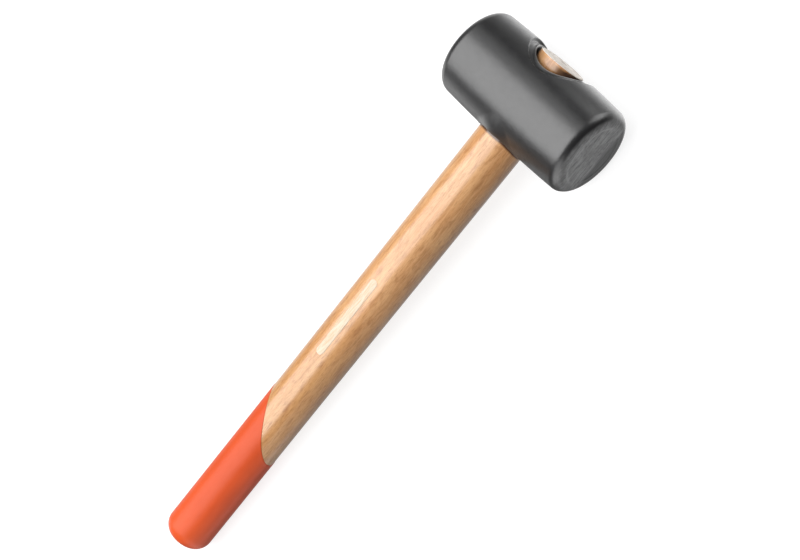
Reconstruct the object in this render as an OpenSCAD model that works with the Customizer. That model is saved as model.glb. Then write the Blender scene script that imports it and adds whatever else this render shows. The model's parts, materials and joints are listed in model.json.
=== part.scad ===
// Rubber mallet with a turned wooden handle.
//
// The mallet is designed in its own working frame: the barrel of the head runs
// along X, the handle runs along Z with the head at the top, and the origin is
// where the two axes cross. lay_down() then lays it on the floor as it rests
// when it is put down: on the side of the barrel and on the butt of the handle.

/* [Head] */
// Diameter of the rubber barrel at its middle
head_d = 60; // [58.5:0.5:66]
// Diameter that the barrel has tapered to at its two faces
head_end_d = 57.4; // [54:0.1:59]
// Length of the head from one striking face to the other
head_len = 103; // [90:0.5:120]
// Radius of the rounded edge around each striking face
edge_r = 6; // [3:0.5:9]

/* [Eye] */
// Diameter of the low rubber lip where the handle enters the head
lip_d = 34; // [33:0.1:38]
// Height of that lip above the surface of the barrel
lip_h = 1.2; // [0.5:0.1:3]
// Diameter of the open mouth around the flared end of the handle
mouth_d = 34.2; // [32:0.1:36]
// Diameter of the sunk floor around the mouth
dish_d = 46; // [42:0.5:48]
// Depth of that floor below the surface of the barrel
dish_depth = 2.5; // [1:0.1:3]

/* [Handle] */
// Diameter of the handle at its shoulder, inside the head
shoulder_d = 31.6; // [30.4:0.1:32]
// How far the shoulder lies below the axis of the head
shoulder_drop = 20; // [12:0.5:24]
// Diameter of the straight grip
grip_d = 30; // [28:0.1:30.2]
// Diameter of the neck inside the head
neck_d = 26; // [22:0.5:27]
// Diameter of the flared end in the mouth of the eye
flare_d = 30.4; // [29:0.1:31]
// Height of the flared end above the axis of the head
flare_top = 28.3; // [26:0.1:29]
// Length of the handle from the axis of the head to the tip of the butt
butt_drop = 353; // [300:1:400]

/* [Colour dip] */
// Thickness of the lacquer
dip_t = 0.2; // [0.15:0.05:0.4]
// Distance from the axis of the head to the middle of the dip's slanting edge
dip_drop = 254; // [252:1:270]
// Slant of that edge, measured from square across the handle
dip_slant = 58; // [0:1:60]
// Turn of the slant about the handle
dip_turn = 6.5; // [0:0.5:180]

/* [Printed bar] */
// Length of the bar along the handle
bar_len = 58; // [20:1:60]
// Width of the bar
bar_w = 5.6; // [3:0.1:8]
// Distance from the axis of the head to the middle of the bar
bar_drop = 168; // [120:1:175]

/* [Hidden] */
$fn = 96;

// The head
head_r = head_d / 2;
half_len = head_len / 2;
crown = head_r - head_end_d / 2;
crown_r = (half_len * half_len + crown * crown) / (2 * crown);
crown_fn = 1440;
corner_x = half_len - edge_r;
corner_r = head_r - crown_r + sqrt(pow(crown_r - edge_r, 2) - corner_x * corner_x);
tangent_x = corner_x * crown_r / (crown_r - edge_r);

// The eye, from the bottom up: bore, conical seat, relief, mouth
neck_r = neck_d / 2;
mouth_r = mouth_d / 2;
flare_r = flare_d / 2;
flare_start = 14;
flare_full = 23.5;
seat_end = 18.5;
seat_r = neck_r + (flare_r - neck_r) * (seat_end - flare_start) / (flare_full - flare_start);
relief_end = 21.5;
dish_foot_d = 41;
eye_reach = 45;

// The handle
shoulder_r = shoulder_d / 2;
grip_r = grip_d / 2;
grip_start = 225;
flare_edge = 1.2;
end_crown = 0.5;
centre_r = 2.4;
centre_depth = 1.4;
butt_edge_r = 10;
butt_crown_r = 23;

// The printed bar
bar_t = 0.1;
bar_turn = 2;

// Radius of the tapered handle at a distance below the axis of the head
function taper_r(drop) =
    shoulder_r + (grip_r - shoulder_r) * (drop - shoulder_drop) / (grip_start - shoulder_drop);

// The resting pose: the lacquered butt touches the floor under the barrel
rest_edge_r = butt_edge_r + dip_t;
rest_ring_r = grip_r - butt_edge_r;
rest_ring_drop = butt_drop - butt_crown_r + butt_corner_rise();
rest_tilt = asin((head_r - rest_edge_r) / norm([rest_ring_drop, rest_ring_r]))
    - atan(rest_ring_r / rest_ring_drop);
butt_reach = (butt_drop - butt_crown_r) * cos(rest_tilt) + butt_crown_r + dip_t;
rest_shift = (butt_reach - head_r) / 2;

// How far the rounded edge's centre lies beyond the crown's centre
function butt_corner_rise() =
    sqrt(pow(butt_crown_r - butt_edge_r, 2) - pow(grip_r - butt_edge_r, 2));

// Lays the working frame down on the floor, centred on the footprint
module lay_down() {
    translate([0, rest_shift, head_r]) rotate([rest_tilt - 90, 0, 0]) children();
}

// Keeps the half of an outline that rotate_extrude may turn
module right_half() {
    intersection() {
        translate([0, -500]) square([100, 1000]);
        children();
    }
}

// Half section of the barrel: gently crowned sides, rounded edges, flat faces
module barrel_outline() {
    intersection() {
        translate([head_r - crown_r, 0]) circle(crown_r, $fn = crown_fn);
        translate([0, -tangent_x]) square([head_r, 2 * tangent_x]);
    }
    translate([0, -half_len]) square([corner_r, head_len]);
    for (side = [-1, 1]) translate([corner_r, side * corner_x]) circle(edge_r);
}

module barrel() {
    rotate([0, 90, 0]) rotate_extrude() right_half() barrel_outline();
}

// The barrel's sides alone, moved evenly outward, or inward where grow is negative
module barrel_sides(grow) {
    rotate([0, 90, 0]) rotate_extrude() right_half() intersection() {
        translate([head_r - crown_r, 0]) circle(crown_r + grow, $fn = crown_fn);
        translate([0, -corner_x]) square([head_r + grow, 2 * corner_x]);
    }
}

// The hole through the head: socket for the handle, neck, seat for the flare, mouth
module eye_bore() {
    rotate_extrude() polygon([
        [0, -eye_reach], [taper_r(eye_reach), -eye_reach], [shoulder_r, -shoulder_drop],
        [neck_r, -shoulder_drop], [neck_r, flare_start], [seat_r, seat_end],
        [mouth_r, relief_end], [mouth_r, eye_reach], [0, eye_reach]
    ]);
}

// The steep-walled sunk floor that follows the barrel around the mouth
module eye_dish() {
    difference() {
        translate([0, 0, flare_start])
            cylinder(h = head_r - flare_start, d1 = dish_foot_d, d2 = dish_d);
        barrel_sides(-dish_depth);
    }
}

// The lip around the handle, which follows the barrel as well
module entry_lip() {
    intersection() {
        translate([0, 0, -eye_reach]) cylinder(h = eye_reach, d = lip_d);
        barrel_sides(lip_h);
    }
}

module rubber_head() {
    color("#2b2b2c") lay_down() difference() {
        union() {
            barrel();
            entry_lip();
        }
        eye_bore();
        eye_dish();
    }
}

// Half section of the grip and its rounded butt, grown by a skin thickness
module butt_outline(skin, from_drop) {
    centre_z = butt_crown_r - butt_drop;
    corner_z = centre_z - butt_corner_rise();
    tangent_r = (grip_r - butt_edge_r) * (butt_crown_r + skin) / (butt_crown_r - butt_edge_r);
    translate([0, corner_z]) square([grip_r + skin, -from_drop - corner_z]);
    translate([grip_r - butt_edge_r, corner_z]) circle(butt_edge_r + skin);
    intersection() {
        translate([0, centre_z]) circle(butt_crown_r + skin, $fn = 2 * $fn);
        translate([0, -butt_drop - skin]) square([tangent_r, butt_crown_r + skin]);
    }
}

module handle() {
    color("#d9a86c") lay_down() difference() {
        union() {
            rotate_extrude() polygon([
                [0, flare_top + end_crown], [flare_r - flare_edge, flare_top],
                [flare_r, flare_top - flare_edge], [flare_r, flare_full], [neck_r, flare_start],
                [neck_r, -shoulder_drop], [shoulder_r, -shoulder_drop], [grip_r, -grip_start],
                [0, -grip_start]
            ]);
            rotate_extrude() right_half() butt_outline(0, grip_start);
        }
        translate([0, 0, flare_top + end_crown - centre_depth])
            cylinder(h = 2 * centre_depth, r1 = 0, r2 = 2 * centre_r);
    }
}

// The orange lacquer: a skin on the grip, cut off on a slant
module dip_coat() {
    reach = butt_drop + 10;
    color("#f2551f") lay_down() intersection() {
        difference() {
            rotate_extrude() right_half() butt_outline(dip_t, grip_start);
            rotate_extrude() right_half() butt_outline(0, grip_start - 1);
        }
        translate([0, 0, -dip_drop]) rotate([0, 0, dip_turn]) rotate([0, dip_slant, 0])
            translate([-reach, -reach, -reach]) cube([2 * reach, 2 * reach, reach]);
    }
}

// A plain pale bar of ink on the front of the handle
module printed_bar() {
    top_r = taper_r(bar_drop - bar_len / 2);
    bottom_r = taper_r(bar_drop + bar_len / 2);
    color("#efe6da") lay_down() intersection() {
        translate([0, 0, -bar_drop - bar_len / 2]) difference() {
            cylinder(h = bar_len, r1 = bottom_r + bar_t, r2 = top_r + bar_t);
            cylinder(h = bar_len, r1 = bottom_r, r2 = top_r);
        }
        rotate([0, 0, bar_turn]) translate([0, 0, -bar_drop]) rotate([90, 0, 0])
            linear_extrude(2 * grip_r) {
                square([bar_w, bar_len - bar_w], center = true);
                for (end = [-1, 1]) translate([0, end * (bar_len - bar_w) / 2]) circle(d = bar_w);
            }
    }
}

rubber_head();
handle();
dip_coat();
printed_bar();
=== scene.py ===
"""The looks of the rubber mallet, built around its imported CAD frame.

Everything is shaped in the mallet's working frame: millimetres, barrel along X,
handle along Z with the head at the top, origin where the two axes cross. Each
piece's object carries the placing that lays this frame down on the floor.
"""

import json
import math

import bpy
import numpy as np
from mathutils import Matrix, Vector


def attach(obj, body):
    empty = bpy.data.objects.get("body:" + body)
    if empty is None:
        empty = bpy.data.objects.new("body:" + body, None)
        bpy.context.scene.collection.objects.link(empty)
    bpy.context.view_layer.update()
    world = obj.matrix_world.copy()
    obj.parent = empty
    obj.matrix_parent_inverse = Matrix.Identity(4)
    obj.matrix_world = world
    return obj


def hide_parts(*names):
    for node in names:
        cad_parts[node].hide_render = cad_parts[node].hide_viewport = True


MM = 0.001
TAU = 2 * math.pi

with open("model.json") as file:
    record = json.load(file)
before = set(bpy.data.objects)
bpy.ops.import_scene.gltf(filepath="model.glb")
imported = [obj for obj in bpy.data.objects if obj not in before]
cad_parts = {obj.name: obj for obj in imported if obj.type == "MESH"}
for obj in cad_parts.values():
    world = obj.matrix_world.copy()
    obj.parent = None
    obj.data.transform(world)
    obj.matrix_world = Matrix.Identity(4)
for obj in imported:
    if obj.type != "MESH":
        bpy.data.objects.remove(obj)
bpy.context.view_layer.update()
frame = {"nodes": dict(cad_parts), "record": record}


# ---------------------------------------------------------------- the frame

MOUNTS = {m["name"]: m for m in frame["record"]["mounts"]}


def lay_down():
    """The placing of the working frame, from the striking faces and the grip."""
    right = Vector(MOUNTS["strike_face_right"]["pos_m"])
    left = Vector(MOUNTS["strike_face_left"]["pos_m"])
    up = -Vector(MOUNTS["grip_end"]["axis"]).normalized()
    across = (right - left).normalized()
    turn = Matrix((across, up.cross(across), up)).transposed().to_4x4()
    return Matrix.Translation((right + left) / 2) @ turn


PLACE = lay_down()


def span(node):
    """A CAD node's lowest and highest corner in the working frame, in mm."""
    back = PLACE.inverted()
    points = np.array([back @ v.co for v in frame["nodes"][node].data.vertices])
    return points.min(0) / MM, points.max(0) / MM


HEAD_LOW, HEAD_HIGH = span("rubber_head")
HANDLE_LOW, HANDLE_HIGH = span("handle")
BAR_LOW, BAR_HIGH = span("printed_bar")

# Head: a barrel with crowned sides, rounded edges and a fine parting line
HALF_LEN = HEAD_HIGH[0]
HEAD_R = -HEAD_LOW[1]
CROWN = 1.3
CROWN_R = (HALF_LEN**2 + CROWN**2) / (2 * CROWN)
EDGE_R = 6.0
PARTING_H, PARTING_W = 0.09, 0.28
PARTING_START, PARTING_RUN = 24.5, 3.0

# Head: the striking faces, each with a raised ring around a shallow hollow
RING_R, RING_H, RING_W = 20.0, 0.10, 0.8
HOLLOW_DEPTH, HOLLOW_WALL = 0.18, 1.6

# Head: the lip around the handle, low at its sides and swollen at the front.
# A higher lip reaches further out over the barrel and ends more softly.
LIP_H = 0.3
LIP_SWELL = 2.0
LIP_FOCUS = 5.0
LIP_REACH = 18.0
LIP_EDGE = 2.5
LIP_SPREAD = 3.5
SWELL_SIDE = (0.0, -1.0, 0.0)

# Head: the mouth of the eye, the sunk floor around it and the flash on its rim
MOUTH_R = 17.1
MOUTH_START, MOUTH_RUN = 18.5, 3.0
SEAT_END_R = 14.04
DISH_R = 23.2
DISH_WALL = 1.4
DISH_DEPTH = 2.4
DISH_SAG = 0.5
FLASH_H, FLASH_W, FLASH_OUT = 0.7, 0.65, 0.9

EYE_EDGE_R = 0.9

# Head: over this height beside the axis, the lip below and the floor above fade out
HALF_FADE = 8.0

# Head: how much wider than the handle the socket opens, from how far under the
# axis, and over what height
SOCKET_GAP, SOCKET_START, SOCKET_RUN = 0.4, 22.0, 4.0

# Head: size of the grid cells that its surface is drawn in
CELL, QUICK_CELL = 0.6, 1.2

# Handle: a tapered grip with a rounded butt, a shoulder, a neck and a flared end
DIP_T = 0.2
SHOULDER_R = HANDLE_HIGH[0]
GRIP_R = MOUNTS["grip_end"]["dims"]["r_mm"] - DIP_T
GRIP_START = -225.0
SHOULDER_Z = -20.0
NECK_R = 13.0
FLARE_R = 15.2
FLARE_START = 14.0
FLARE_FULL = 23.5
END_CROWN = 0.5
END_ROUND = 0.7
FLARE_TOP = HANDLE_HIGH[2] - END_CROWN
BUTT_Z = HANDLE_LOW[2]
BUTT_EDGE_R = 10.0
BUTT_CROWN_R = 23.0

# Handle: end grain shows down to this far below the flared end's rim
END_SKIN = 0.6

# Handle: radius and depth along the dimple that the lathe's centre leaves in its end
DIMPLE = ((0, 1.3), (0.5, 1.25), (1.9, 0.35), (2.3, 0.1), (2.8, 0.02))

# Lacquer: a skin of thickness DIP_T, whose slanting edge is eased at its two ends.
# It builds up over a short run below the edge, and has a low bead there.
DIP_DROP = 254.0
DIP_SLANT = math.radians(58)
DIP_TURN = math.radians(6.5)
DIP_EASE = 0.12
BUILD_RUN = 0.45
BEAD_H, BEAD_AT, BEAD_W = 0.045, 0.9, 0.55

# Lacquer: how far below its edge each of the close first rows lies
EDGE_ROWS = (0, 0.03, 0.08, 0.16, 0.28, 0.45, 0.7, 1.0, 1.4, 2.0, 3.0)

# Ink: a thin bar, turned a little to the right of the front. At its sides, this
# share of the half width loses this share of the thickness.
BAR_T = 0.1
BAR_TURN = math.radians(2)
BAR_RIM, BAR_RIM_DROP = 0.1, 0.55

# Lacquer and ink: how far their inner faces are sunk into the wood
SUNK = 0.03


# ------------------------------------------------------------- mesh helpers


def piece(name, verts, faces, normals=None):
    """A smooth mesh object from points in mm in the working frame."""
    mesh = bpy.data.meshes.new(name)
    mesh.from_pydata((np.asarray(verts) * MM).tolist(), [], faces)
    mesh.validate()
    mesh.shade_smooth()
    if normals is not None:
        mesh.normals_split_custom_set_from_vertices(normals.tolist())
    obj = bpy.data.objects.new(name, mesh)
    bpy.context.scene.collection.objects.link(obj)
    obj.matrix_world = PLACE
    return obj


def arc(centre_r, centre_z, radius, start, end, steps):
    """Points (r, z) on an arc; angles in degrees, 0 outward and 90 up."""
    angles = np.radians(np.linspace(start, end, steps + 1))
    return [(centre_r + radius * math.cos(a), centre_z + radius * math.sin(a)) for a in angles]


def line(start, end, steps):
    """Points (r, z) from start to end, both included."""
    return [tuple(p) for p in np.linspace(start, end, steps + 1)]


def revolve(profile, segments):
    """A closed solid of revolution; the profile runs down from its upper pole."""
    rings = np.array(profile[1:-1])
    angles = np.arange(segments) * TAU / segments
    verts = [(0, 0, profile[0][1])]
    for r, z in rings:
        verts += [(r * math.cos(a), r * math.sin(a), z) for a in angles]
    verts.append((0, 0, profile[-1][1]))
    last = len(verts) - 1
    faces = []
    for j in range(segments):
        k = (j + 1) % segments
        faces.append((0, 1 + j, 1 + k))
        for i in range(len(rings) - 1):
            a, b = 1 + i * segments, 1 + (i + 1) * segments
            faces.append((a + j, b + j, b + k, a + k))
        base = 1 + (len(rings) - 1) * segments
        faces.append((base + j, last, base + k))
    return verts, faces


def shell(outer, inner):
    """A skin between two matching grids of points, rows down by columns around."""
    rows, cols, _ = outer.shape
    verts = np.concatenate([outer.reshape(-1, 3), inner.reshape(-1, 3)])
    off = rows * cols
    faces = []
    for i in range(rows - 1):
        for j in range(cols):
            k = (j + 1) % cols
            quad = (i * cols + j, (i + 1) * cols + j, (i + 1) * cols + k, i * cols + k)
            faces.append(quad)
            faces.append(tuple(off + q for q in reversed(quad)))
    for j in range(cols):
        k = (j + 1) % cols
        faces.append((j, k, off + k, off + j))
    return verts, faces


# ----------------------------------------------------------- head, moulded


def ease(t):
    """Smooth step from 0 to 1."""
    t = np.clip(t, 0, 1)
    return t * t * (3 - 2 * t)


def blend_min(a, b, width):
    """The union of two fields with a fillet of about this width."""
    h = np.clip(0.5 + 0.5 * (b - a) / width, 0, 1)
    return b + (a - b) * h - width * h * (1 - h)


def blend_max(a, b, width):
    """The overlap of two fields with an edge rounded by about this width."""
    return -blend_min(-a, -b, width)


def rounded_max(a, b, radius):
    """The overlap of two fields with a true round of this radius."""
    a, b = a + radius, b + radius
    return np.minimum(np.maximum(a, b), 0) + np.hypot(np.maximum(a, 0), np.maximum(b, 0)) - radius


def taper_r(z):
    """Radius of the tapered handle at this height."""
    return SHOULDER_R + (GRIP_R - SHOULDER_R) * (z - SHOULDER_Z) / (GRIP_START - SHOULDER_Z)


def hill(distance, width):
    """A smooth hill of height 1 around distance 0."""
    return np.exp(-((distance / width) ** 2))


def lip_rise(x, y, from_z):
    """How far the lip around the handle stands off the barrel."""
    along = (x * SWELL_SIDE[0] + y * SWELL_SIDE[1]) / np.maximum(from_z, 1)
    lip = LIP_H + LIP_SWELL * np.exp(LIP_FOCUS * (along - 1))
    spread = LIP_SPREAD * lip
    return lip * ease((LIP_REACH + spread - from_z) / (LIP_EDGE + spread))


def mouth_drop(y, from_z):
    """How far the floor around the mouth is sunk, less the flash on the rim."""
    depth = DISH_DEPTH + DISH_SAG * (y / MOUTH_R) ** 2
    flash = FLASH_H * hill(from_z - MOUTH_R - FLASH_OUT, FLASH_W)
    return depth * ease((DISH_R - from_z) / DISH_WALL) - flash


def bore_radius(z):
    """Radius of the through eye: socket, neck, conical seat and mouth."""
    socket = taper_r(z) + SOCKET_GAP * ease((-z - SOCKET_START) / SOCKET_RUN)
    seat = NECK_R + (FLARE_R - NECK_R) * (z - FLARE_START) / (FLARE_FULL - FLARE_START)
    mouth = SEAT_END_R + (MOUTH_R - SEAT_END_R) * ease((z - MOUTH_START) / MOUTH_RUN)
    upper = np.where(z < FLARE_START, NECK_R, np.where(z < MOUTH_START, seat, mouth))
    return np.where(z < SHOULDER_Z, socket, upper)


def head_field(p):
    """How far a point lies outside the rubber, in mm; negative inside."""
    x, y, z = p[..., 0], p[..., 1], p[..., 2]
    from_x, from_z = np.hypot(y, z), np.hypot(x, y)

    side = np.hypot(from_x + CROWN_R - HEAD_R, x) - CROWN_R
    drop = mouth_drop(y, from_z) * ease(z / HALF_FADE)
    rise = lip_rise(x, y, from_z) * ease(-z / HALF_FADE)
    parting = PARTING_H * hill(y, PARTING_W) * ease((from_z - PARTING_START) / PARTING_RUN)
    side = side + drop - rise - parting

    ring = RING_H * hill(from_x - RING_R, RING_W)
    hollow = HOLLOW_DEPTH * ease((RING_R - from_x) / HOLLOW_WALL)
    face = np.abs(x) - (HALF_LEN - RING_H) - ring + hollow
    body = rounded_max(side, face, EDGE_R)
    return blend_max(body, bore_radius(z) - from_z, EYE_EDGE_R)


def gradient(field, p, step=0.02):
    """The field's slope at each point."""
    slope = np.zeros_like(p)
    for axis in range(3):
        shift = np.zeros(3)
        shift[axis] = step
        slope[:, axis] = (field(p + shift) - field(p - shift)) / (2 * step)
    return slope


def crossed_cells(values):
    """Which cells the zero surface crosses, and its middle in each, in cells."""
    shape = tuple(size - 1 for size in values.shape)
    total = np.zeros(shape + (3,))
    crossings = np.zeros(shape)
    corner = [slice(0, -1), slice(1, None)]
    for axis in range(3):
        others = [a for a in range(3) if a != axis]
        for s in (0, 1):
            for t in (0, 1):
                near, far = [None] * 3, [None] * 3
                near[axis], far[axis] = corner[0], corner[1]
                near[others[0]] = far[others[0]] = corner[s]
                near[others[1]] = far[others[1]] = corner[t]
                a, b = values[tuple(near)], values[tuple(far)]
                crossed = (a < 0) != (b < 0)
                share = np.where(crossed, a / np.where(crossed, a - b, 1), 0)
                offset = np.zeros(crossed.shape + (3,))
                offset[..., axis] = share
                offset[..., others[0]] = s
                offset[..., others[1]] = t
                total += offset * crossed[..., None]
                crossings += crossed
    active = crossings > 0
    return active, np.argwhere(active) + total[active] / crossings[active][:, None]


def crossing_quads(inside, active):
    """A quad around each grid edge that the surface crosses, facing outward."""
    index = np.full(active.shape, -1)
    index[active] = np.arange(active.sum())
    faces = []
    for axis in range(3):
        b, c = (axis + 1) % 3, (axis + 2) % 3
        first, second = [slice(None)] * 3, [slice(None)] * 3
        first[axis], second[axis] = slice(0, -1), slice(1, None)
        enters = inside[tuple(first)] & ~inside[tuple(second)]
        leaves = ~inside[tuple(first)] & inside[tuple(second)]
        for crossed, flip in ((enters, False), (leaves, True)):
            at = np.argwhere(crossed)
            ring = []
            for db, dc in ((0, 0), (-1, 0), (-1, -1), (0, -1)):
                cell_at = at.copy()
                cell_at[:, b] += db
                cell_at[:, c] += dc
                ring.append(index[tuple(cell_at.T)])
            quads = np.stack(ring, 1)
            faces.append(quads[:, ::-1] if flip else quads)
    return np.concatenate(faces)


def settle(field, verts):
    """The points moved onto the field's zero surface, and the normals there."""
    least_slope = 0.2
    for _ in range(3):
        slope = gradient(field, verts)
        size = np.maximum((slope**2).sum(1), least_slope)
        verts = verts - slope * (field(verts) / size)[:, None]
    slope = gradient(field, verts)
    return verts, slope / np.linalg.norm(slope, axis=1)[:, None]


def skin_of(field, low, high, cell):
    """The zero surface of a field as quads, one vertex in each cell it crosses."""
    counts = np.ceil((high - low) / cell).astype(int) + 1
    axes = [low[i] + cell * np.arange(counts[i]) for i in range(3)]
    values = field(np.stack(np.meshgrid(*axes, indexing="ij"), -1))
    active, place = crossed_cells(values)
    faces = crossing_quads(values < 0, active)
    verts, normals = settle(field, low + place * cell)
    return verts, faces.tolist(), normals


def make_head():
    """The moulded head: barrel, faces, sunk floor, mouth, seat, bore and lip."""
    margin = 2.0
    low = np.array([-HALF_LEN, -HEAD_R, -HEAD_R - LIP_H]) - margin
    high = np.array([HALF_LEN, HEAD_R, HEAD_R]) + margin
    cell = CELL
    verts, faces, normals = skin_of(head_field, low, high, cell)
    return piece("moulded_head", verts, faces, normals)


# ----------------------------------------------------------- handle, turned


def butt_profile(skin, steps):
    """(r, z) of the rounded butt, from its side down to the pole."""
    centre = BUTT_Z + BUTT_CROWN_R
    reach = BUTT_CROWN_R - BUTT_EDGE_R
    inset = GRIP_R - BUTT_EDGE_R
    corner = centre - math.sqrt(reach**2 - inset**2)
    meet = math.degrees(math.asin(inset / reach))
    edge = arc(inset, corner, BUTT_EDGE_R + skin, 0, meet - 90, steps)
    crown = arc(0, centre, BUTT_CROWN_R + skin, meet - 90, -90, steps // 2)
    return edge + crown[1:]


def make_handle():
    """The turned handle, from the lathe dimple in its end to the butt."""
    top = FLARE_TOP + END_CROWN
    inset, under = FLARE_R - END_ROUND, FLARE_TOP - END_ROUND
    profile = [(r, top - depth) for r, depth in DIMPLE]
    profile += line((4, top - 0.04), (inset, FLARE_TOP), 6)
    profile += arc(inset, under, END_ROUND, 84, 0, 6)
    profile += line((FLARE_R, under - 0.5), (FLARE_R - 0.05, FLARE_FULL), 3)
    profile += line((FLARE_R - 0.4, FLARE_FULL - 1.6), (NECK_R, FLARE_START), 5)
    profile += line((NECK_R, FLARE_START - 1), (NECK_R, SHOULDER_Z + 0.1), 12)
    profile += line((NECK_R + 0.1, SHOULDER_Z), (SHOULDER_R - 0.1, SHOULDER_Z), 3)
    profile += line((SHOULDER_R, SHOULDER_Z - 0.1), (GRIP_R, GRIP_START), 60)
    butt = butt_profile(0, 12)
    profile += line((GRIP_R, GRIP_START - 2), (GRIP_R, butt[0][1] + 1), 30)
    profile += butt
    profile[-1] = (0, BUTT_Z)
    verts, faces = revolve(profile, 144)
    return piece("turned_handle", verts, faces)


# --------------------------------------------------------- lacquer and ink


def dip_edge(angles):
    """Height of the lacquer's slanting edge, which wanders a little."""
    across = np.cos(angles - DIP_TURN)
    lean = math.tan(DIP_SLANT) * GRIP_R * (across - DIP_EASE * across**3)
    wander = 0.10 * np.sin(3 * angles + 1.1) + 0.06 * np.sin(7 * angles + 0.4)
    return -DIP_DROP - lean + wander


def dip_rows(edge):
    """Radius and heights of each row of the lacquer, from its edge to the pole."""
    below = np.array(EDGE_ROWS)
    build = DIP_T * np.sqrt(1 - (1 - np.clip(below / BUILD_RUN, 0, 1)) ** 2)
    bead = BEAD_H * hill(below - BEAD_AT, BEAD_W)
    radii = [GRIP_R + b for b in build + bead]
    heights = [edge - d for d in below]
    butt = butt_profile(DIP_T, 14)
    for share in np.linspace(0, 1, 26)[1:]:
        radii.append(GRIP_R + DIP_T)
        heights.append((edge - below[-1]) * (1 - share) + butt[0][1] * share)
    for r, z in butt[1:-1] + [(0.05, butt[-1][1])]:
        radii.append(r)
        heights.append(np.full(edge.shape, z))
    return radii, heights


def make_dip():
    """The lacquer skin, with a soft bead along its slanting edge."""
    cols = 180
    angles = np.arange(cols) * TAU / cols
    around = np.stack([np.cos(angles), np.sin(angles)], 1)
    radii, heights = dip_rows(dip_edge(angles))
    inner_radii = [max(min(r, GRIP_R + DIP_T) - DIP_T - SUNK, 0.04) for r in radii]
    inner_radii[: len(EDGE_ROWS)] = [GRIP_R - SUNK] * len(EDGE_ROWS)
    inner_heights = [z + (DIP_T + SUNK if r < GRIP_R else 0) for r, z in zip(radii, heights)]

    def grid(row_radii, row_heights):
        """Points of all rows, each around the handle's axis."""
        rows = zip(row_radii, row_heights)
        return np.array([np.column_stack([around * r, z]) for r, z in rows])

    verts, faces = shell(grid(radii, heights), grid(inner_radii, inner_heights))
    off = len(radii) * cols
    last = off - cols
    faces.append(tuple(last + j for j in reversed(range(cols))))
    faces.append(tuple(off + last + j for j in range(cols)))
    return piece("lacquer_dip", verts, faces)


def bar_rows():
    """Height along the bar and half width there, from one round end to the other."""
    half_w = (BAR_HIGH[0] - BAR_LOW[0]) / 2
    half_l = (BAR_HIGH[2] - BAR_LOW[2]) / 2
    bend = [math.radians(a) for a in np.linspace(0, 90, 9)]
    upper = [(half_l - half_w + half_w * math.sin(b), half_w * math.cos(b)) for b in bend[:-1]]
    straight = [(h, half_w) for h in np.linspace(-half_l + half_w, half_l - half_w, 40)[1:-1]]
    lower = [(-h, w) for h, w in reversed(upper)]
    return lower + straight + upper


def bar_face(rows, columns, outer):
    """Points of the film's outer or inner face, wrapped on the tapered handle."""
    middle = (BAR_HIGH[2] + BAR_LOW[2]) / 2
    turn = BAR_TURN - math.pi / 2
    points = []
    for height, width in rows:
        z = middle + height
        r = taper_r(z)
        for c in columns:
            edge = 1 - BAR_RIM_DROP * max(0.0, (abs(c) - 1 + BAR_RIM) / BAR_RIM)
            out = r + (BAR_T * edge if outer else -SUNK)
            angle = turn + width * c / r
            points.append((out * math.cos(angle), out * math.sin(angle), z))
    return points


def make_bar():
    """The plain printed bar: a thin film with round ends, wrapped on the handle."""
    rows = bar_rows()
    columns = np.linspace(-1, 1, 13)
    verts = bar_face(rows, columns, True) + bar_face(rows, columns, False)
    n, m = len(rows), len(columns)
    off = n * m
    faces = []
    for i in range(n - 1):
        for j in range(m - 1):
            quad = (i * m + j, i * m + j + 1, (i + 1) * m + j + 1, (i + 1) * m + j)
            faces.append(quad)
            faces.append(tuple(off + q for q in reversed(quad)))
        for j in (0, m - 1):
            side = (i * m + j, (i + 1) * m + j, off + (i + 1) * m + j, off + i * m + j)
            faces.append(side if j == 0 else tuple(reversed(side)))
    for i in (0, n - 1):
        for j in range(m - 1):
            end = (i * m + j, off + i * m + j, off + i * m + j + 1, i * m + j + 1)
            faces.append(end if i == 0 else tuple(reversed(end)))
    return piece("ink_bar", verts, faces)


# ---------------------------------------------------------------- materials

RUBBER_TONES = ((0.0085, 0.0085, 0.0090), (0.0120, 0.0120, 0.0126))
# Dust with painted floor reflection on the striking faces:
DUST_AND_REFLECTION_TONES = ((0.155, 0.156, 0.158), (0.390, 0.392, 0.396))
# Painted highlight on the front of the striking faces' raised ring:
RING_GLINT_TONE = (0.46, 0.46, 0.47)
PALE_RIM_TONE = (0.36, 0.345, 0.325)
SCUFF_TONE = (0.08, 0.08, 0.082)
BEECH_TONES = ((0.62, 0.365, 0.176), (0.50, 0.236, 0.088), (0.24, 0.084, 0.022))
END_GRAIN_TONES = ((0.97, 0.94, 0.89), (0.92, 0.86, 0.78), (0.40, 0.26, 0.16))
GRIP_TONE = (0.38, 0.178, 0.043)
# Painted shade for the handle's seam and the mouth's gap:
SEAM_SHADE_TONE = (0.030, 0.011, 0.006)
SOIL_TONE = (0.26, 0.18, 0.12)
DIMPLE_TONE = (0.20, 0.13, 0.08)
LACQUER_TONES = ((0.49, 0.057, 0.0085), (0.54, 0.066, 0.0105))
WORN_LACQUER_TONE = (0.45, 0.07, 0.03)
INK_TONES = ((0.60, 0.50, 0.39), (0.52, 0.34, 0.20))
FLOOR_TONES = ((0.24, 0.24, 0.24), (0.26, 0.26, 0.26))

# Dust and painted floor reflection on a striking face: full inside one radius and thin past the
# other.
# The painted reflection is full in front of one Y and thin behind the other, where a shaded floor
# would be reflected.
DUST_FULL_R, DUST_THIN_R = 19.5, 26.0
REFLECTION_FULL_Y, REFLECTION_THIN_Y = 9.0, 13.2

# Wood: the pith that the year rings are drawn around, and where the wood turns darker toward the
# grip
PITH_X, PITH_Y = -44.0, 23.0
RINGS_PER_MM = 0.34
GRIP_DARK_START, GRIP_DARK_FULL = -150.0, -215.0


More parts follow.
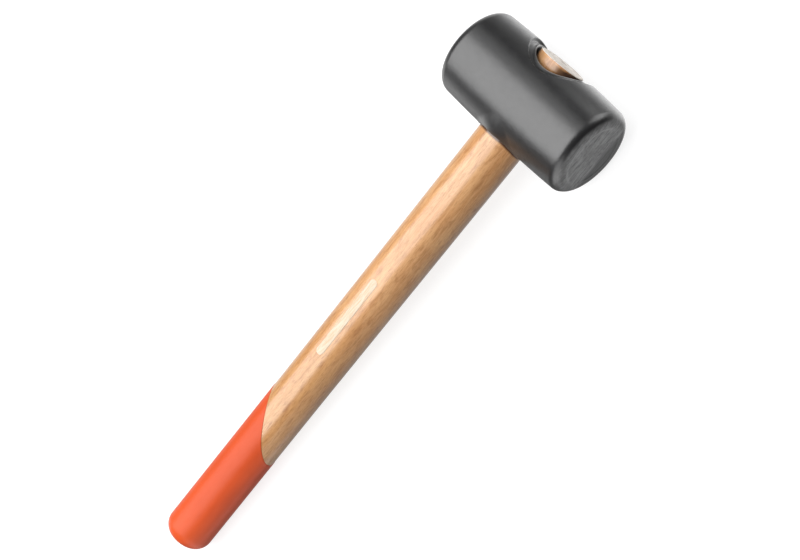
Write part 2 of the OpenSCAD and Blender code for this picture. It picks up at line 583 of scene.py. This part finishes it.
class Shader:
    """A short way to write a material's nodes."""

    def __init__(self, name):
        """A material with a surface, and the place on the piece in mm."""
        self.material = bpy.data.materials.new(name)
        self.material.use_nodes = True
        self.tree = self.material.node_tree
        self.tree.nodes.clear()
        out = self.node("ShaderNodeOutputMaterial")
        self.surface = self.node("ShaderNodeBsdfPrincipled")
        self.tree.links.new(self.surface.outputs[0], out.inputs[0])
        spot = self.node("ShaderNodeTexCoord").outputs["Object"]
        self.place = self.vector("MULTIPLY", spot, (1 / MM,) * 3)

    def node(self, kind):
        """A new node of this kind."""
        return self.tree.nodes.new(kind)

    def feed(self, socket, value):
        """Links a socket, or sets its plain value."""
        if isinstance(value, bpy.types.NodeSocket):
            self.tree.links.new(value, socket)
        else:
            socket.default_value = value

    def math(self, op, *values, clamp=False):
        """Arithmetic on numbers."""
        n = self.node("ShaderNodeMath")
        n.operation, n.use_clamp = op, clamp
        for socket, value in zip(n.inputs, values):
            self.feed(socket, value)
        return n.outputs[0]

    def vector(self, op, *values):
        """Arithmetic on vectors."""
        n = self.node("ShaderNodeVectorMath")
        n.operation = op
        for socket, value in zip(n.inputs, values):
            self.feed(socket, value)
        return n.outputs["Value"] if op in ("LENGTH", "DOT_PRODUCT") else n.outputs[0]

    def split(self, vector):
        """The X, Y and Z of a vector."""
        n = self.node("ShaderNodeSeparateXYZ")
        self.feed(n.inputs[0], vector)
        return n.outputs

    def join(self, x, y, z):
        """A vector from its X, Y and Z."""
        n = self.node("ShaderNodeCombineXYZ")
        for socket, value in zip(n.inputs, (x, y, z)):
            self.feed(socket, value)
        return n.outputs[0]

    def noise(self, per_mm, detail=3, rough=0.55, shift=(0, 0, 0), warp=0.0):
        """Noise with so many features per mm along each axis."""
        spot = self.vector("MULTIPLY", self.place, per_mm)
        spot = self.vector("ADD", spot, shift)
        n = self.node("ShaderNodeTexNoise")
        self.feed(n.inputs["Vector"], spot)
        n.inputs["Scale"].default_value = 1.0
        n.inputs["Detail"].default_value = detail
        n.inputs["Roughness"].default_value = rough
        n.inputs["Distortion"].default_value = warp
        return n.outputs["Fac"]

    def ramp(self, value, low, high, out_low=0.0, out_high=1.0):
        """A smooth step from out_low at low to out_high at high."""
        n = self.node("ShaderNodeMapRange")
        n.interpolation_type = "SMOOTHSTEP"
        for socket, v in zip(n.inputs, (value, low, high, out_low, out_high)):
            self.feed(socket, v)
        return n.outputs[0]

    def band(self, value, middle, far, near):
        """1 closer than near to the middle value, falling to 0 at far from it."""
        return self.ramp(self.math("ABSOLUTE", self.math("SUBTRACT", value, middle)), far, near)

    def mix(self, share, a, b):
        """Colour a with this share of colour b in it."""
        n = self.node("ShaderNodeMix")
        n.data_type = "RGBA"
        self.feed(n.inputs[0], share)
        for socket, colour in ((n.inputs[6], a), (n.inputs[7], b)):
            self.feed(socket, colour if isinstance(colour, bpy.types.NodeSocket) else (*colour, 1))
        return n.outputs[2]

    def bump(self, height, distance, over=None):
        """Relief: height 1 stands this many mm proud."""
        n = self.node("ShaderNodeBump")
        self.feed(n.inputs["Height"], height)
        n.inputs["Distance"].default_value = distance * MM
        n.inputs["Strength"].default_value = 1.0
        if over is not None:
            self.feed(n.inputs["Normal"], over)
        return n.outputs[0]

    def finish(self, **inputs):
        """Feeds the surface, with spaces for the underscores of its inputs' names."""
        for name, value in inputs.items():
            socket = self.surface.inputs[name.replace("_", " ")]
            if isinstance(value, tuple) and len(value) == 3:
                value = (*value, 1)
            self.feed(socket, value)
        return self.material


def face_dust_and_reflection(s, x, y, from_x, mottle):
    """Where the striking faces are, and the share of dust and painted floor reflection, least
    toward the back where the shaded floor would be reflected.
    """
    end = s.ramp(s.math("ABSOLUTE", x), HALF_LEN - 1.6, HALF_LEN - 0.4)
    inside = s.ramp(from_x, DUST_THIN_R, DUST_FULL_R, 0.45, 1.0)
    ragged = s.math("MULTIPLY_ADD", mottle, 5.0, -2.5)
    # Painted floor reflection: full in front of a ragged straight edge, faint behind it where the
    # shaded floor would be reflected.
    worn = s.ramp(s.math("ADD", y, ragged), REFLECTION_THIN_Y, REFLECTION_FULL_Y)
    on_face = s.math("MULTIPLY", end, inside)
    return end, s.math("MULTIPLY", on_face, s.math("MULTIPLY_ADD", worn, 0.75, 0.25))


def dust_and_reflection_colour(s, y, from_x, buffed, mottle):
    """Streaked grey dust with painted floor reflection, and a painted highlight on the front of
    the raised ring.
    """
    streaks = s.math("ADD", s.math("MULTIPLY", buffed, 0.65), s.math("MULTIPLY", mottle, 0.35))
    dusty_reflection = s.mix(s.ramp(streaks, 0.38, 0.64), *DUST_AND_REFLECTION_TONES)
    # Painted highlight on the front of the raised ring.
    ring_glint = s.math("MULTIPLY", s.band(from_x, RING_R, 1.1, 0.2), s.ramp(y, 2.0, -8.0, 0.05, 0.5))
    return s.mix(ring_glint, dusty_reflection, RING_GLINT_TONE)


def pale_rim_share(s, x, y, z):
    """Share of a pale line on the mouth's rim, strongest at the right."""
    from_z = s.vector("LENGTH", s.join(x, y, 0.0))
    flash = s.math("MULTIPLY", s.band(from_z, MOUTH_R + 0.6, 0.8, 0.2), s.ramp(z, 14.0, 18.0))
    return s.math("MULTIPLY", flash, s.ramp(x, -17.0, 4.0, 0.12, 0.7))


def rubber():
    """Moulded black rubber: satin sides, buffed striking faces with dust and a painted floor
    reflection.
    """
    s = Shader("moulded_rubber")
    x, y, z = s.split(s.place)
    from_x = s.vector("LENGTH", s.join(0.0, y, z))
    cloud = s.noise((0.05, 0.05, 0.05), detail=4)
    mottle = s.noise((0.35, 0.35, 0.35), detail=5, rough=0.65)
    grain = s.noise((2.6, 2.6, 2.6), rough=0.6)
    scuff = s.noise((0.09, 0.9, 0.9), detail=4, rough=0.7, warp=0.6, shift=(7, 3, 1))
    scuffed = s.ramp(scuff, 0.62, 0.78)
    buffed = s.noise((0.2, 0.50, 0.10), detail=5, rough=0.65, warp=0.7, shift=(4, 2, 7))
    end, dust_and_reflection = face_dust_and_reflection(s, x, y, from_x, mottle)

    colour = s.mix(s.ramp(cloud, 0.3, 0.7), *RUBBER_TONES)
    # Dust and painted floor reflection on the striking faces.
    colour = s.mix(dust_and_reflection, colour, dust_and_reflection_colour(s, y, from_x, buffed, mottle))
    colour = s.mix(pale_rim_share(s, x, y, z), colour, PALE_RIM_TONE)
    colour = s.mix(s.math("MULTIPLY", scuffed, 0.14), colour, SCUFF_TONE)

    rough = s.ramp(mottle, 0.3, 0.75, 0.31, 0.38)
    rough = s.math("ADD", rough, s.math("MULTIPLY", scuffed, 0.10))
    rough = s.math("ADD", rough, s.math("MULTIPLY", dust_and_reflection, 0.22), clamp=True)

    relief = s.bump(grain, 0.03)
    relief = s.bump(mottle, 0.06, over=relief)
    relief = s.bump(s.math("MULTIPLY", buffed, end), 0.02, over=relief)
    return s.finish(Base_Color=colour, Roughness=rough, IOR=1.75, Normal=relief)


def year_rings(s, x, y):
    """Share of dark late wood, in rings around a pith outside the handle."""
    drift = s.noise((0.05, 0.05, 0.013))
    waver = s.math("MULTIPLY_ADD", drift, 9.0, -4.5)
    pith = s.join(s.math("SUBTRACT", x, PITH_X), s.math("SUBTRACT", y, PITH_Y), 0.0)
    radius = s.math("ADD", s.vector("LENGTH", pith), waver)
    year = s.math("FRACT", s.math("MULTIPLY", radius, RINGS_PER_MM))
    return s.math("MULTIPLY", s.ramp(year, 0.45, 0.9), s.ramp(year, 1.0, 0.92))


def beech(s, pale, mid, dark, toward_grip):
    """Beech with fibres along Z: its colour, its relief and its fibres."""
    x, y, _ = s.split(s.place)
    fibre = s.noise((0.60, 0.60, 0.045), detail=6, rough=0.7, warp=0.4)
    broad = s.noise((0.14, 0.14, 0.016), rough=0.6)
    patch = s.noise((0.06, 0.06, 0.03), shift=(2, 4, 6))
    tone = s.math("MULTIPLY", s.ramp(fibre, 0.30, 0.70), 0.40)
    tone = s.math("MULTIPLY_ADD", s.ramp(broad, 0.32, 0.68), 0.35, tone)
    tone = s.math("MULTIPLY_ADD", s.ramp(patch, 0.32, 0.68), 0.25, tone)
    colour = s.mix(toward_grip, s.mix(tone, pale, mid), GRIP_TONE)

    thread = s.noise((2.2, 2.2, 0.22), rough=0.7, shift=(3, 9, 2))
    figure = s.noise((0.34, 0.34, 0.075), detail=4, rough=0.65, warp=0.5, shift=(9, 2, 5))
    fleck = s.ramp(s.noise((1.5, 1.5, 0.34), rough=0.6, shift=(5, 1, 8)), 0.58, 0.72)
    coarse = s.math("MULTIPLY_ADD", toward_grip, 0.6, 0.42)
    for share in (
        s.math("MULTIPLY", year_rings(s, x, y), 0.14),
        s.ramp(thread, 0.48, 0.70, 0.0, coarse),
        s.ramp(figure, 0.48, 0.70, 0.0, 0.46),
        s.math("MULTIPLY", fleck, 0.30),
    ):
        colour = s.mix(share, colour, dark)
    height = s.math("SUBTRACT", s.math("MULTIPLY", thread, 0.6), s.math("MULTIPLY", fleck, 0.5))
    return colour, height, fibre


def painted_seam_shade(s, x, y, z):
    """Share of painted shade: a contact shadow where the handle enters the lip, and shade deep in
    the mouth, most at its right.
    """
    outward = s.vector("NORMALIZE", s.join(x, y, 0.0))
    along = s.math("SUBTRACT", s.vector("DOT_PRODUCT", outward, SWELL_SIDE), 1.0)
    swell = s.math("EXPONENT", s.math("MULTIPLY", along, LIP_FOCUS))
    lip = s.math("MULTIPLY_ADD", swell, LIP_SWELL, LIP_H)
    seam = s.math("SUBTRACT", s.vector("LENGTH", s.join(0.0, y, z)), lip)
    # Painted contact shadow on the wood just below the lip.
    contact_shade = s.math("MULTIPLY", s.ramp(seam, HEAD_R + 1.3, HEAD_R - 0.2), s.ramp(z, -15.0, -20.0))
    # Painted shade down in the mouth's gap, most at its right.
    sunk = s.math("MULTIPLY", s.ramp(seam, HEAD_R - 0.8, HEAD_R - 2.4), s.ramp(z, 10.0, 14.0))
    return s.math("MULTIPLY_ADD", sunk, s.ramp(x, 1.0, 11.0, 0.15, 1.0), contact_shade)


def varnished_beech():
    """The turned handle: satin varnish, darker toward the grip, with painted shade at the seam and
    deep in the mouth.
    """
    s = Shader("varnished_beech")
    x, y, z = s.split(s.place)
    toward_grip = s.ramp(z, GRIP_DARK_START, GRIP_DARK_FULL, 0.0, 0.36)
    colour, height, fibre = beech(s, *BEECH_TONES, toward_grip)
    # Painted shade at the seam and deep in the mouth.
    colour = s.mix(s.math("MULTIPLY", painted_seam_shade(s, x, y, z), 0.92), colour, SEAM_SHADE_TONE)
    rough = s.ramp(fibre, 0.3, 0.7, 0.42, 0.52)
    return s.finish(
        Base_Color=colour, Roughness=rough, IOR=1.30, Normal=s.bump(height, 0.03),
        Coat_Weight=1.0, Coat_Roughness=0.24, Coat_IOR=1.6,
    )


def bare_end_grain():
    """The handle's bare end in the eye: open pores, soil and a dark dimple."""
    s = Shader("bare_end_grain")
    x, y, _ = s.split(s.place)
    colour, height, _ = beech(s, *END_GRAIN_TONES, 0.0)
    pores = s.ramp(s.noise((4.5, 4.5, 0.4), detail=2), 0.42, 0.62)
    soil = s.ramp(s.noise((0.16, 0.16, 0.16), detail=4, shift=(1, 6, 3)), 0.52, 0.72)
    centre = s.ramp(s.vector("LENGTH", s.join(x, y, 0.0)), 3.4, 1.2)
    colour = s.mix(s.math("MULTIPLY", pores, 0.10), colour, END_GRAIN_TONES[-1])
    colour = s.mix(s.math("MULTIPLY", soil, 0.22), colour, SOIL_TONE)
    colour = s.mix(s.math("MULTIPLY", centre, 0.45), colour, DIMPLE_TONE)
    relief = s.bump(s.math("ADD", height, pores), 0.12)
    return s.finish(Base_Color=colour, Roughness=0.62, IOR=1.45, Normal=relief)


def lacquer():
    """Orange dipping lacquer: faint sags, wood grain telegraphing, scuffed butt."""
    s = Shader("orange_lacquer")
    z = s.split(s.place)[2]
    sag = s.noise((0.10, 0.10, 0.025), detail=2)
    peel = s.noise((0.9, 0.9, 0.5), detail=2)
    grain = s.noise((1.6, 1.6, 0.05))
    speck = s.ramp(s.noise((1.1, 1.1, 1.1), shift=(4, 4, 9)), 0.70, 0.78)
    worn = s.math("MULTIPLY", speck, s.ramp(z, BUTT_Z + 22, BUTT_Z + 4))
    colour = s.mix(s.ramp(sag, 0.3, 0.7), *LACQUER_TONES)
    colour = s.mix(s.math("MULTIPLY", worn, 0.35), colour, WORN_LACQUER_TONE)
    rough = s.ramp(peel, 0.3, 0.7, 0.42, 0.50)
    relief = s.bump(peel, 0.02)
    relief = s.bump(grain, 0.02, over=relief)
    return s.finish(
        Base_Color=colour, Roughness=rough, IOR=1.36, Normal=relief,
        Coat_Weight=0.05, Coat_Roughness=0.3,
    )


def ink():
    """Pale printed ink, thin enough that the fibres break it up a little."""
    s = Shader("pale_ink")
    thread = s.noise((1.8, 1.8, 0.16), detail=4, rough=0.65)
    colour = s.mix(s.ramp(thread, 0.42, 0.62, 0.0, 0.8), *INK_TONES)
    return s.finish(Base_Color=colour, Roughness=0.55, IOR=1.45, Normal=s.bump(thread, 0.02))


# ----------------------------------------------------------- stage and camera

# Camera: what it aims at, its direction and distance from there in m, its turn
# about the line of sight, and its lens and sensor in mm
AIM = Vector((5.4, 0.0, -132.5)) * MM
VIEW_AZIMUTH = math.radians(25.42)
VIEW_ELEVATION = math.radians(14.2)
VIEW_ROLL = math.radians(38.8)
VIEW_DISTANCE = 1.105
LENS, SENSOR = 83.25, 36

# Soft lights that face the mallet: azimuth and elevation in degrees, distance,
# width and height in m, watts
SOFTBOXES = {
    "main_softbox": (-18, -17, 1.0, 1.45, 1.6, 28),
    "upper_softbox": (-25, 34, 1.0, 1.4, 0.5, 2.1),
    "side_softbox": (95, -52, 1.2, 1.5, 0.9, 8),
    "top_softbox": (60, 82, 1.0, 0.7, 0.7, 4.5),
}

# Bright places around the mallet: direction in the working frame, power, strength
LOBES = (
    ((-0.60, 0.70, 0.35), 5.0, 1.7),
    ((0.0, 0.85, 0.50), 12.0, 3.0),
    ((-0.70, 0.38, -0.66), 18.0, 2.1),
    ((0.45, 0.86, -0.25), 5.0, 0.30),
    ((0.58, 0.42, -0.70), 5.0, 0.45),
)
SURROUNDINGS = 0.05

FLOOR_HALF = 4.0
FLOOR_GLOW = 0.82


def toward(azimuth, elevation):
    """A direction in the working frame: azimuth 0 faces the front, 90 the right."""
    flat = math.cos(elevation)
    return Vector((math.sin(azimuth) * flat, -math.cos(azimuth) * flat, math.sin(elevation)))


def turned(back, roll=0.0):
    """A turning whose local Z is back and whose local Y, before the roll, is near up."""
    right = Vector((0, 0, 1)).cross(back).normalized()
    high = back.cross(right)
    right, high = (
        right * math.cos(roll) + high * math.sin(roll),
        high * math.cos(roll) - right * math.sin(roll),
    )
    return Matrix((right, high, back)).transposed().to_4x4()


def make_camera():
    """The camera, rolled so that the handle runs down to the left."""
    data = bpy.data.cameras.new("camera")
    data.lens, data.sensor_width = LENS, SENSOR
    data.clip_start, data.clip_end = 0.05, 50
    camera = bpy.data.objects.new("camera", data)
    bpy.context.scene.collection.objects.link(camera)
    back = toward(VIEW_AZIMUTH, VIEW_ELEVATION)
    place = Matrix.Translation(AIM + back * VIEW_DISTANCE)
    camera.matrix_world = PLACE @ place @ turned(back, VIEW_ROLL)
    bpy.context.scene.camera = camera


def softbox(name, azimuth, elevation, distance, width, height, watts):
    """A soft rectangular light that faces the mallet."""
    data = bpy.data.lights.new(name, "AREA")
    data.shape, data.size, data.size_y = "RECTANGLE", width, height
    data.energy = watts
    lamp = bpy.data.objects.new(name, data)
    bpy.context.scene.collection.objects.link(lamp)
    back = toward(math.radians(azimuth), math.radians(elevation))
    place = Matrix.Translation(AIM * 0.5 + back * distance)
    lamp.matrix_world = PLACE @ place @ turned(back)
    lamp.visible_camera = False


def make_floor():
    """A pale, evenly glowing floor that neither lights the mallet nor reflects in it."""
    mesh = bpy.data.meshes.new("floor")
    ends = (-FLOOR_HALF, FLOOR_HALF)
    corners = [(x, y, 0) for x in ends for y in ends]
    mesh.from_pydata(corners, [], [(0, 2, 3, 1)])
    floor = bpy.data.objects.new("floor", mesh)
    bpy.context.scene.collection.objects.link(floor)
    s = Shader("pale_floor")
    cloud = s.noise((0.01, 0.01, 0.01), detail=2)
    colour = s.mix(cloud, *FLOOR_TONES)
    material = s.finish(Base_Color=colour, Roughness=0.9)
    s.surface.inputs["Emission Color"].default_value = (1, 1, 1, 1)
    s.surface.inputs["Emission Strength"].default_value = FLOOR_GLOW
    mesh.materials.append(material)
    floor.visible_glossy = floor.visible_diffuse = False


def make_world():
    """Dark surroundings with soft bright lobes behind the mallet."""
    world = bpy.data.worlds.new("studio")
    bpy.context.scene.world = world
    world.use_nodes = True
    tree = world.node_tree
    sky = tree.nodes.new("ShaderNodeTexCoord").outputs["Generated"]

    def step(kind, op, first, second):
        """One node of arithmetic, giving a number."""
        n = tree.nodes.new(kind)
        n.operation = op
        tree.links.new(first, n.inputs[0])
        if isinstance(second, bpy.types.NodeSocket):
            tree.links.new(second, n.inputs[1])
        else:
            n.inputs[1].default_value = second
        return n.outputs["Value"]

    light = None
    for direction, power, strength in LOBES:
        centre = (PLACE.to_3x3() @ Vector(direction)).normalized()
        lobe = step("ShaderNodeVectorMath", "DOT_PRODUCT", sky, centre)
        lobe = step("ShaderNodeMath", "MAXIMUM", lobe, 0.0)
        lobe = step("ShaderNodeMath", "POWER", lobe, power)
        lobe = step("ShaderNodeMath", "MULTIPLY", lobe, strength)
        light = step("ShaderNodeMath", "ADD", lobe, SURROUNDINGS if light is None else light)
    tree.links.new(light, tree.nodes["Background"].inputs["Strength"])
    tree.nodes["Background"].inputs["Color"].default_value = (1, 1, 1, 1)


# --------------------------------------------------------------- put together


def show_end_grain(handle):
    """Gives the faces of the flared end the handle's second material."""
    for face in handle.data.polygons:
        if face.center.z > (FLARE_TOP - END_SKIN) * MM:
            face.material_index = 1


make_camera()
make_world()
make_floor()
for name, values in SOFTBOXES.items():
    softbox(name, *values)

parts = {
    "rubber_head": (make_head(), [rubber()], "head_rubber"),
    "handle": (make_handle(), [varnished_beech(), bare_end_grain()], "handle_wood"),
    "dip_coat": (make_dip(), [lacquer()], "dip_lacquer"),
    "printed_bar": (make_bar(), [ink()], "bar_ink"),
}
for node, (made, materials, slot) in parts.items():
    for material in materials:
        made.data.materials.append(material)
    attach(made, "root")
    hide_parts(node)

show_end_grain(parts["handle"][0])

scene = bpy.context.scene
scene.view_settings.view_transform = "Standard"
scene.view_settings.exposure = 0.0
